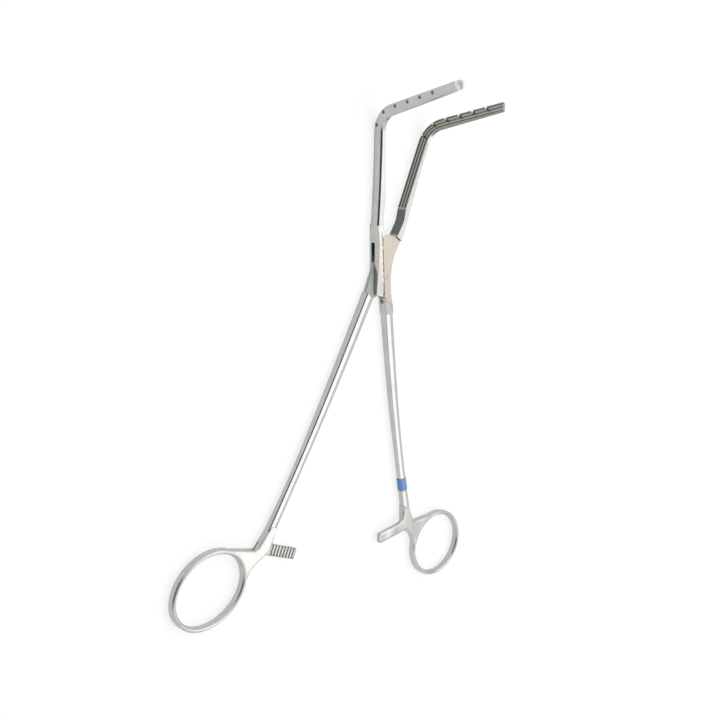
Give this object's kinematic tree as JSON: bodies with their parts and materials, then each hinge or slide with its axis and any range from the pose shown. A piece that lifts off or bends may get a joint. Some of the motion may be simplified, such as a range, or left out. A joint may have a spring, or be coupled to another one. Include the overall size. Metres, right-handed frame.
{
  "type": "bronchus clamp",
  "caption": "Ring-handled surgical clamp with a box lock, long slim shanks, a ratchet, and narrow jaws bent up near a right angle with pins that enter holes.",
  "frame": {"origin": "on the pivot axis, in the flat underside of the box lock", "axes": "+Y along the closed jaws towards their tips, +Z along the pivot axis, the way the jaws bend, +X to the half with the holed jaw's handle"},
  "size_m": [0.171, 0.2053, 0.0401],
  "materials": {
    "satin_steel": "satin",
    "pin_steel": "polished",
    "blue_band": "satin"
  },
  "bodies": {
    "holed_half": {"female_half": "satin_steel", "pivot_rivet": "satin_steel", "marking_band": "blue_band"},
    "pinned_half": {"male_half": "satin_steel", "jaw_pin_1": "pin_steel", "jaw_pin_2": "pin_steel", "jaw_pin_3": "pin_steel", "jaw_pin_4": "pin_steel", "jaw_pin_5": "pin_steel", "jaw_pin_6": "pin_steel"}
  },
  "joints": [
    {"name": "box_lock", "type": "hinge", "parent": "holed_half", "child": "pinned_half", "pos_m": [0, 0, 0], "axis": [0, 0, 1], "range_deg": [-2.6, 27.4]}
  ]
}
